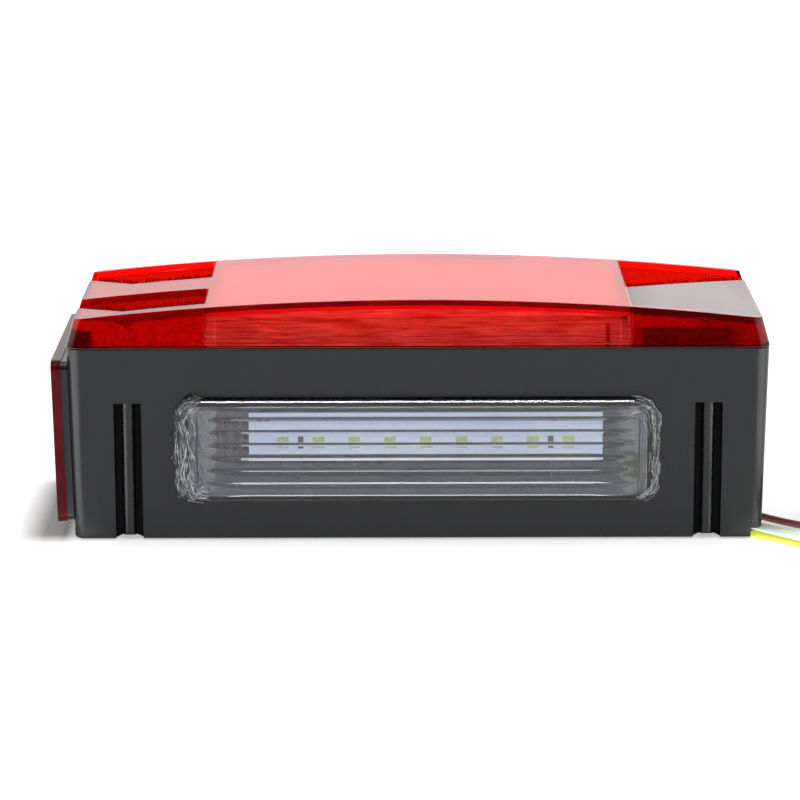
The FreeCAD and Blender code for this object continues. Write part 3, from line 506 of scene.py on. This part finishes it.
def within(outline, x, y):
    """Whether a point lies inside an outline of corners."""
    inside = False
    for (ax, ay), (bx, by) in zip(outline, outline[1:] + outline[:1], strict=True):
        if (ay > y) != (by > y) and x < (bx - ax) * (y - ay) / (by - ay) + ax:
            inside = not inside
    return inside


def add_pyramid(shape, x, y, floor, half=0.42):
    """A square pyramid as high as half its width, its foot just under a floor."""
    corners = [shape.verts.new(Vector((x + a, y + b, floor - 0.02)) * MM)
               for a, b in ((-half, -half), (half, -half), (half, half), (-half, half))]
    peak = shape.verts.new(Vector((x, y, floor + half)) * MM)
    shape.faces.new(corners[::-1])
    for n in range(4):
        shape.faces.new((corners[n], corners[(n + 1) % 4], peak))


def add_prisms(shape):
    """Uneven rows of small pyramids on the pockets' floors, along the pockets' near edges."""
    chance = random.Random(4)
    for outline in POCKETS:
        for column in range(200):
            x = -99.5 + column
            for row in range(60):
                y = -34 + row * 1.25
                clear = within(outline, x, y) and within(outline, x, y - 0.8) and within(outline, x - 0.7, y)
                if not clear or within(outline, x, y - 12.5 - 4 * chance.random()) or chance.random() < 0.2:
                    continue
                add_pyramid(shape, x, y, crown_height(x * MM) / MM - POCKET_DEPTH)


def add_tube(shape, spots, thick, sides=5):
    """A thin round line through some spots, in millimetres."""
    rings = []
    turns = [2 * math.pi * k / sides for k in range(sides)]
    for n, spot in enumerate(spots):
        along = (spots[min(n + 1, len(spots) - 1)] - spots[max(n - 1, 0)]).normalized()
        up = Vector((0, 0, 1)) if abs(along.z) < 0.8 else Vector((0, 1, 0))
        wide = along.cross(up).normalized()
        up = wide.cross(along)
        ring = [spot + (wide * math.cos(t) + up * math.sin(t)) * thick for t in turns]
        rings.append([shape.verts.new(place * MM) for place in ring])
    for low, high in zip(rings, rings[1:], strict=False):
        for k in range(sides):
            m = (k + 1) % sides
            shape.faces.new((low[k], low[m], high[m], high[k]))
    shape.faces.new(rings[0][::-1])
    shape.faces.new(rings[-1])


def add_arc(shape, x, height, reach, thick):
    """A thin sagging arc on the inner face of the lens's front wall, which leans back as it rises."""
    spots = []
    for n in range(13):
        share = n / 6 - 1
        z = height - reach * 0.34 * (1 - share * share)
        spots.append(Vector((x + reach * share, -35.55 + 0.2125 * (z - LENS_BASE), z)))
    add_tube(shape, spots, thick)


def on_top(corners, sunk):
    """Spots every few millimetres along a line over the lens's crowned top."""
    spots = []
    for (ax, ay), (bx, by) in zip(corners, corners[1:], strict=False):
        parts = max(2, round(math.hypot(bx - ax, by - ay) / 3))
        for n in range(parts + 1):
            x, y = ax + (bx - ax) * n / parts, ay + (by - ay) * n / parts
            spots.append(Vector((x, y, crown_height(x * MM) / MM - sunk)))
    return spots


def make_lens_lines():
    """Painted shade along the pockets' lower edges, and painted highlight lines along the creases beside the
    right-hand one.
    """
    # painted shade lines along the pockets' lower edges
    dark = bmesh.new()
    for outline in POCKETS:
        near = outline[:4] if outline[0][0] < 0 else outline[:3]
        add_tube(dark, on_top(near, 0.1), 0.17)
    made = place_mesh("pocket_outlines", to_mesh(dark, "pocket_outlines"), "main_lens")
    paint(made, POCKET_EDGE_SHADE)
    # painted highlight lines along the creases
    bright = bmesh.new()
    add_tube(bright, on_top([(61.8, -36.8), (61.8, -8.2)], 0.02), 0.14)
    add_tube(bright, on_top([(61.8, -8.3), (99, 19.6)], 0.02), 0.09)
    made = place_mesh("lens_creases", to_mesh(bright, "lens_creases"), "main_lens")
    paint(made, CREASE_HIGHLIGHT)


def make_main_lens():
    """The red moulding, with its inner, outer and pocket faces apart."""
    shape = node_shape("main_lens")
    for cut, way in ((ENDS_FROM, (1, 0, 0)), (SIDES_FROM, (0, 1, 0))):
        for side in (-1, 1):
            geometry = shape.verts[:] + shape.edges[:] + shape.faces[:]
            place = Vector(way) * side * cut * MM
            bmesh.ops.bisect_plane(shape, geom=geometry, plane_co=place, plane_no=way)
    shape.normal_update()
    parts = list(LENS_FACES)
    for face in shape.faces:
        face.material_index = parts.index(lens_part(face.calc_center_bounds(), face.normal))
    lens = place_mesh("red_lens", to_mesh(shape, "red_lens"), "main_lens")
    bevel(lens, 0.35 * MM, 28)
    paint(lens, *LENS_FACES.values())


def make_lens_marks():
    """The pockets' prisms and the fans of fine arcs on the front wall's inner face."""
    prisms = bmesh.new()
    add_prisms(prisms)
    made = place_mesh("pocket_prisms", to_mesh(prisms, "pocket_prisms"), "main_lens", smooth_to=0)
    paint(made, PRISMS_PAINTED_SHADE)
    fans = bmesh.new()
    for column in range(-2, 3):
        for ring in range(3):
            add_arc(fans, column * LAMP_PITCH, 64.6 - ring * 0.9, 4.2 - ring * 0.9, 0.09)
    made = place_mesh("lens_fans", to_mesh(fans, "lens_fans"), "main_lens")
    paint(made, LENS_MARKS)


# ---- licence lens ----

def rounded_outline(left, right, bottom, top, radius, steps=8):
    """Points round a rounded rectangle, as across and up."""
    corners = [(right - radius, bottom + radius, -90), (right - radius, top - radius, 0),
               (left + radius, top - radius, 90), (left + radius, bottom + radius, 180)]
    points = []
    for cx, cz, start in corners:
        for n in range(steps + 1):
            angle = math.radians(start + 90 * n / steps)
            points.append((cx + radius * math.cos(angle), cz + radius * math.sin(angle)))
    return points


# The licence lens: its outline, its front and back faces and the thickness of its front wall
PLATE = {"half": 68.9, "bottom": 12.4, "top": 42.1, "radius": 6.5, "front": -42.4, "back": -37.5, "wall": 2.1}
# Its flutes: the lowest edge, their pitch and number, and where they fade out towards both ends
FLUTES = {"first": 13.4, "pitch": 3.83, "count": 7, "full_to": 50, "end": 62}


def flute_rows():
    """Heights across the flutes, closer together near the ridges, with the share of half a pitch at each."""
    half = FLUTES["pitch"] / 2
    for flute in range(FLUTES["count"]):
        for step in range(-8, 8):
            share = math.sin(math.pi / 2 * step / 8)
            yield FLUTES["first"] + half * (2 * flute + 1 + share), share
    yield FLUTES["first"] + half * 2 * FLUTES["count"], -1.0


def flute_rise(share):
    """How far the inner face stands in across a hollow flute: shallow, with steep sides at the ridges."""
    off = abs(share) * FLUTES["pitch"] / 2
    return off * off / 12 + 0.7 * max(0.0, off - 1.2) ** 2


def plate_depth(x, share):
    """Depth of the licence lens's inner face: fluted in the middle, plain and sloping back at both ends."""
    inner = PLATE["front"] + PLATE["wall"] - 0.5
    fade = min(1.0, max(0.0, (FLUTES["end"] - abs(x)) / (FLUTES["end"] - FLUTES["full_to"])))
    slope = max(0.0, abs(x) - FLUTES["end"] + 4) * 0.32
    return min(PLATE["back"] - 0.02, inner + flute_rise(share) * fade + slope)


def flute_part(x, z, share):
    """Which material a strip of the inner face takes: a flute's steep sides are dark below, bright above."""
    if z > 38.8 or (share < -0.62 and z > 19 and abs(x) < FLUTES["end"] - 2):
        return PLATE_LOOKS.index(FLUTE_SHADE)
    lit_from = 0.68 if 23 < z < 25 else 0.88
    if share > lit_from and z < 33 and abs(x) < FLUTES["full_to"] + 1:
        return PLATE_LOOKS.index(FLUTE_GLINT)
    return PLATE_LOOKS.index(CLEAR_INNER)


def add_plate(shape):
    """The licence lens's rim and its front face, with the back left open."""
    chamfer = 0.4
    rings = [(0.0, PLATE["back"]), (0.0, PLATE["front"] + chamfer), (chamfer, PLATE["front"])]
    loops = []
    for inset, depth in rings:
        outline = rounded_outline(-PLATE["half"] + inset, PLATE["half"] - inset, PLATE["bottom"] + inset,
                                  PLATE["top"] - inset, PLATE["radius"] - inset)
        loops.append([shape.verts.new(Vector((x, depth, z)) * MM) for x, z in outline])
    for low, high in zip(loops, loops[1:], strict=False):
        for n in range(len(low)):
            m = (n + 1) % len(low)
            shape.faces.new((low[n], low[m], high[m], high[n]))
    shape.faces.new(loops[-1])


def add_flutes(shape):
    """The inner face as a height field, with its edge on the lens's back plane."""
    across = 96
    left = -PLATE["half"] + 2.2
    rows = list(flute_rows())
    grid = []
    for j, (z, share) in enumerate(rows):
        line = []
        for i in range(across + 1):
            x = left - 2 * left * i / across
            at_edge = i in (0, across) or j in (0, len(rows) - 1)
            depth = PLATE["back"] if at_edge else plate_depth(x, share)
            line.append(shape.verts.new(Vector((x, depth, z)) * MM))
        grid.append(line)
    for j, (low, high) in enumerate(zip(grid, grid[1:], strict=False)):
        share = (rows[j][1] + (rows[j + 1][1] if rows[j + 1][1] > rows[j][1] else 1.0)) / 2
        for i in range(across):
            face = shape.faces.new((low[i], high[i], high[i + 1], low[i + 1]))
            face.material_index = flute_part(left - 2 * left * (i + 0.5) / across, rows[j][0], share)


def make_licence_lens():
    shape = bmesh.new()
    add_plate(shape)
    add_flutes(shape)
    rim = [e for e in shape.edges if e.is_boundary]
    bmesh.ops.triangle_fill(shape, edges=rim, use_beauty=True)
    lens = place_mesh("clear_lens", to_mesh(shape, "clear_lens"), "license_lens", smooth_to=30)
    paint(lens, *PLATE_LOOKS)


def sealant_line():
    """Spots a short way apart round the licence lens, as across and up."""
    out = 0.3
    half = PLATE["half"] + out
    outline = rounded_outline(-half, half, PLATE["bottom"] - out, PLATE["top"] + out, PLATE["radius"] + out,
                              steps=24)
    spots = []
    for (ax, az), (bx, bz) in zip(outline, outline[1:] + outline[:1], strict=True):
        parts = max(1, round(math.hypot(bx - ax, bz - az) / 0.6))
        spots += [(ax + (bx - ax) * k / parts, az + (bz - az) * k / parts) for k in range(parts)]
    return spots


def make_sealant():
    """A thin bead of clear sealant round the licence lens, heaped up and stringy at both ends."""
    shape = bmesh.new()
    spots = sealant_line()
    rings, sides = [], 14
    for n, (x, z) in enumerate(spots):
        (px, pz), (qx, qz) = spots[n - 1], spots[(n + 1) % len(spots)]
        along = Vector((qx - px, 0, qz - pz)).normalized()
        out = Vector((along.z, 0, -along.x))
        at_end = min(1.0, max(0.0, (abs(x) - 61) / 6))
        heap = 0.32 + at_end * (1.6 if x < 0 else 0.8)
        heap *= 0.8 + 0.5 * noise.noise(Vector((x * 0.3, 3.1, z * 0.3)))
        middle = Vector((x, PLATE["back"] - 0.4 - 2.4 * at_end, z))
        ring = []
        for k in range(sides):
            turn = 2 * math.pi * k / sides
            way = out * math.cos(turn) + Vector((0, -1, 0)) * math.sin(turn)
            reach = heap * (1 + 0.5 * noise.noise(Vector((x, 5 * turn, z)) * 0.9))
            ring.append(shape.verts.new((middle + way * reach * 1.25) * MM))
        rings.append(ring)
    for low, high in zip(rings, rings[1:] + rings[:1], strict=True):
        for k in range(sides):
            m = (k + 1) % sides
            shape.faces.new((low[k], low[m], high[m], high[k]))
    bead = place_mesh("sealant_bead", to_mesh(shape, "sealant_bead"), "license_lens_sealant",
                      smooth_to=60)
    paint(bead, LOOKS["sealant_clear"])


def strand_spots(spots, first, number, chance):
    """One string's wandering line along a stretch of the lens's edge, where that lies at the lens's ends."""
    inward = chance.uniform(-0.9, 3.6)
    drift = chance.uniform(-0.22, 0.22)
    line = []
    for step in range(chance.randint(4, 13)):
        here = (first + step) % len(spots)
        x, z = spots[here]
        (px, pz), (qx, qz) = spots[here - 1], spots[(here + 1) % len(spots)]
        out = Vector((qz - pz, 0, px - qx)).normalized()
        inward = min(4.6, max(-1.1, inward + drift + 0.3 * noise.noise(Vector((number, step * 0.7, 0)))))
        depth = PLATE["front"] - 0.1 - 0.3 * abs(noise.noise(Vector((step, number, 2))))
        if abs(x) > 61:
            line.append(Vector((x, depth, z)) - out * inward)
    return line


def make_strands():
    """Fine strings drawn out of the sealant at both ends of the licence lens, half of them ending in beads."""
    shape = bmesh.new()
    chance = random.Random(11)
    spots = sealant_line()
    starts = [n for n, (x, z) in enumerate(spots) if x < -62.5 or (x > 64 and chance.random() < 0.5)]
    for number in range(120):
        line = strand_spots(spots, chance.choice(starts), number, chance)
        if len(line) > 2:
            add_tube(shape, line, chance.uniform(0.025, 0.06), 4)
            if chance.random() < 0.5:
                place = Matrix.Translation(line[-1] * MM)
                size = chance.uniform(0.07, 0.2) * MM
                bmesh.ops.create_icosphere(shape, subdivisions=1, radius=size, matrix=place)
    mesh = to_mesh(shape, "sealant_strands")
    strands = place_mesh("sealant_strands", mesh, "license_lens_sealant")
    paint(strands, STRANDS)


# ---- inside the main lens ----

def make_reflector():
    """The bright tray, with a clip in front of each lamp, a flange at each end and a grey pin at right."""
    shape = node_shape("led_reflector")
    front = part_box("led_reflector")[0].y / MM
    for column in range(-2, 3):
        x = column * LAMP_PITCH
        block(shape, (x - 2.2, front - 3.6, 57.6), (x + 2.2, front + 0.2, 60.4))
    for side in (-1, 1):
        left, right = sorted((side * 59.3, side * 61.6))
        block(shape, (left, front, LENS_BASE), (right, front + 1.6, 64.4))
    block(shape, (54.6, front - 3.2, 57.2), (55.8, front - 0.1, 62.4), material=1)
    tray = place_mesh("reflector_tray", to_mesh(shape, "reflector_tray"), "led_reflector")
    paint(tray, LOOKS["reflector_bright"], REFLECTOR_PIN)


def make_jumper_loops():
    """The red jumper wires, and their slack looped out beside the licence board."""
    shape = bmesh.new()
    steps = 16
    for x, sway in ((-57.4, -0.7), (-54.9, -0.2), (-52.6, 0.3)):
        spots = []
        for n in range(steps + 1):
            bulge = math.sin(math.pi * n / steps)
            spots.append(Vector((x + sway * bulge, -27 - 3 * bulge, 38 - 16 * n / steps)))
        add_tube(shape, spots, 1.05, 12)
    loops = place_mesh("jumper_loops", to_mesh(shape, "jumper_loops"), "license_jumper_wires")
    paint(loops, LOOKS["wire_red"])
    straight = place_mesh("jumper_wires", NODES["license_jumper_wires"].data.copy(),
                          "license_jumper_wires")
    paint(straight, LOOKS["wire_red"])


# ---- room ----

def make_world():
    """White surroundings, with a dim room behind the camera and a brighter stretch beyond the right end."""
    world = bpy.data.worlds.new("studio")
    SCENE.world = world
    world.use_nodes = True
    tree = world.node_tree
    back = tree.nodes["Background"]
    place = add(tree, "ShaderNodeTexCoord")
    axes = add(tree, "ShaderNodeSeparateXYZ", Vector=(place, "Generated"))
    # how far a direction points back past the camera
    slant = tree.nodes.new("ShaderNodeVectorMath")
    slant.operation = "DOT_PRODUCT"
    tree.links.new(place.outputs["Generated"], slant.inputs[0])
    slant.inputs[1].default_value = (-0.22, -0.97, 0.1)
    toward = add(tree, "ShaderNodeMapRange", Value=(slant, "Value"), From_Min=0.93, From_Max=0.7, To_Min=0.02,
                 To_Max=1.05)
    beyond = add(tree, "ShaderNodeMapRange", Value=(axes, "X"), From_Min=0.088, From_Max=0.1, To_Min=0.0,
                 To_Max=0.34)
    ahead = add(tree, "ShaderNodeMapRange", Value=(axes, "Y"), From_Min=0.8, From_Max=0.9, To_Min=0.0,
                To_Max=1.0)
    total = math_node(tree, "ADD", toward.outputs[0], times(tree, beyond, ahead).outputs[0])
    tree.links.new(total.outputs[0], back.inputs["Strength"])
    back.inputs["Color"].default_value = (1, 1, 1, 1)


def floor_paper():
    """White paper that glows, most at both sides before the lamp, with a painted shadow beside the side marker
    where it glows least.
    """
    material = surface("floor_paper", (0.86, 0.86, 0.86), (0.88, 0.88, 0.88), (0.8, 0.9), 40,
                       Emission_Color=(1, 1, 1, 1))
    tree = material.node_tree
    shader = tree.nodes["Principled BSDF"]
    place = add(tree, "ShaderNodeTexCoord")
    axes = add(tree, "ShaderNodeSeparateXYZ", Vector=(place, "Object"))
    # painted shadow beside the side marker: darker paper and less glow
    shade = falls_between(tree, (axes, "X"), -104, -100)
    shade = times(tree, shade, falls_between(tree, (axes, "X"), -110, -119))
    shade = times(tree, shade, falls_between(tree, (axes, "Y"), -32, -44))
    shade = times(tree, shade, falls_between(tree, (axes, "Y"), 30, 40))
    shade_colours(tree, shader, shade, (0.42, 0.41, 0.4, 1))
    # how far out from the columns a place lies, beyond a slanting line that runs forward from them
    aside = math_node(tree, "ABSOLUTE", axes.outputs["X"])
    slanted = math_node(tree, "MULTIPLY_ADD", axes.outputs["Y"], 0.62, -0.062)
    outward = math_node(tree, "ADD", aside.outputs[0], slanted.outputs[0])
    wings = falls_between(tree, (outward, "Value"), 12, 0)
    wings = times(tree, wings, falls_between(tree, (axes, "Y"), -46, -40))
    glow = add(tree, "ShaderNodeMapRange", Value=(wings, "Value"), To_Min=0.47, To_Max=2.6)
    lit = add(tree, "ShaderNodeMapRange", Value=(shade, "Value"), To_Min=1.0, To_Max=0.05)
    tree.links.new(times(tree, glow, lit).outputs[0], shader.inputs["Emission Strength"])
    return material


def make_floor():
    """A wide floor a little below the lamp, so that no two faces lie in one plane."""
    mesh = bpy.data.meshes.new("floor")
    far = 6
    mesh.from_pydata([(-far, -far, 0), (far, -far, 0), (far, far, 0), (-far, far, 0)], [], [(0, 1, 2, 3)])
    floor = bpy.data.objects.new("floor", mesh)
    SCENE.collection.objects.link(floor)
    floor.location.z = -0.0004
    paint(floor, floor_paper())


def make_overhead_strip():
    """A long lamp overhead that shows only in glossy edges, such as the licence lens's upper one."""
    data = bpy.data.lights.new("overhead_strip", "AREA")
    data.shape = "RECTANGLE"
    data.size, data.size_y = 0.4, 0.12
    data.energy = 3.6
    light = bpy.data.objects.new("overhead_strip", data)
    SCENE.collection.objects.link(light)
    light.location = (0, -0.25, 0.95)
    aim = Vector((0, 0, 0.03)) - light.location
    light.rotation_euler = aim.to_track_quat("-Z", "Y").to_euler()
    light.visible_diffuse = False


# ---- the whole picture ----

make_camera()
make_world()
make_floor()
make_overhead_strip()

for entry in frame["record"]["subparts"]:
    paint(NODES[entry["node"]], LOOKS[entry["material_slot"]])
for colour in LEAD_ROWS:
    make_lead(colour)
make_housing()
make_main_lens()
make_lens_marks()
make_lens_lines()
make_licence_lens()
make_sealant()
make_strands()
make_reflector()
make_jumper_loops()
SCENE.view_settings.view_transform = "Standard"
